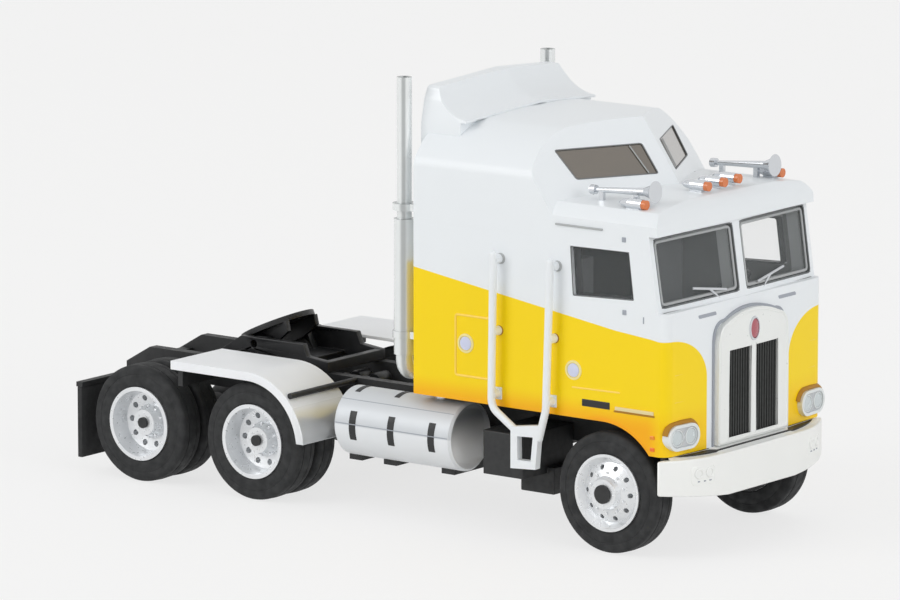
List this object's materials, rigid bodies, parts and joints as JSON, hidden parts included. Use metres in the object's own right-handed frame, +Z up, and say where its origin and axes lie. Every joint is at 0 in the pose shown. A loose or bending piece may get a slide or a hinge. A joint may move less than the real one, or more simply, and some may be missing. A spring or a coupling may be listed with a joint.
{
  "type": "h0 scale model semi truck tractor unit",
  "caption": "Small collector scale model of a cab-over-engine semi truck tractor with raised sleeper roof, tandem drive axles and tipping coupling plate.",
  "frame": {"origin": "on the ground under the middle of the overall box", "axes": "+X forward, +Y to the truck's left, +Z up"},
  "size_m": [0.0764, 0.031, 0.044],
  "materials": {
    "white_body": "gloss white with a printed yellow lower band",
    "chrome_trim": "bright plated",
    "wheel_chrome": "bright plated, slightly grained",
    "silver_plastic": "satin silver",
    "black_plastic": "satin black moulding",
    "tyre_rubber": "soft matt",
    "clear_plastic": "clear, polished",
    "tinted_plastic": "brown tint",
    "orange_plastic": "translucent orange",
    "red_plastic": "red",
    "grey_interior": "dark grey moulding"
  },
  "bodies": {
    "truck": {"air_horns": "chrome_trim", "battery_box_left": "black_plastic", "battery_box_right": "black_plastic", "bumper": "silver_plastic", "cab_floor": "grey_interior", "cab_shell": "white_body", "chassis_frame": "black_plastic", "door_windows": "clear_plastic", "exhaust_stack_left": "chrome_trim", "exhaust_stack_right": "chrome_trim", "fender_left": "chrome_trim", "fender_right": "chrome_trim", "fender_supports": "black_plastic", "fifth_wheel_base": "black_plastic", "front_axle_carrier": "black_plastic", "fuel_tank_left": "silver_plastic", "fuel_tank_right": "silver_plastic", "grab_rail_left": "white_body", "grab_rail_right": "white_body", "grille_panels": "black_plastic", "grille_surround": "chrome_trim", "headlamp_bezels": "chrome_trim", "headlamp_lenses": "clear_plastic", "interior": "grey_interior", "marker_lamps": "chrome_trim", "marker_lenses": "orange_plastic", "mudflap_hanger": "black_plastic", "mudflaps": "black_plastic", "raised_roof": "white_body", "rear_axle_carrier": "black_plastic", "roof_fairing": "white_body", "roof_windows": "tinted_plastic", "steering_wheel": "grey_interior", "tail_lamps": "red_plastic", "tank_brackets": "black_plastic", "windshield": "clear_plastic", "wipers": "chrome_trim"},
    "front_wheels": {"front_axle": "black_plastic", "front_rims": "wheel_chrome", "front_tyres": "tyre_rubber"},
    "drive_wheels_1": {"drive1_axle": "black_plastic", "drive1_rims": "wheel_chrome", "drive1_tyres": "tyre_rubber"},
    "drive_wheels_2": {"drive2_axle": "black_plastic", "drive2_rims": "wheel_chrome", "drive2_tyres": "tyre_rubber"},
    "coupling_plate": {"fifth_wheel_plate": "black_plastic"}
  },
  "joints": [
    {"name": "front_wheels_turn", "type": "hinge", "parent": "truck", "child": "front_wheels", "pos_m": [0.029, 0, 0.006], "axis": [0, 1, 0], "continuous": true},
    {"name": "drive_wheels_1_turn", "type": "hinge", "parent": "truck", "child": "drive_wheels_1", "pos_m": [-0.0136, 0, 0.006], "axis": [0, 1, 0], "continuous": true},
    {"name": "drive_wheels_2_turn", "type": "hinge", "parent": "truck", "child": "drive_wheels_2", "pos_m": [-0.0283, 0, 0.006], "axis": [0, 1, 0], "continuous": true},
    {"name": "coupling_plate_tip", "type": "hinge", "parent": "truck", "child": "coupling_plate", "pos_m": [-0.0214, 0, 0.0135], "axis": [0, 1, 0], "range_deg": [0, 40]}
  ]
}
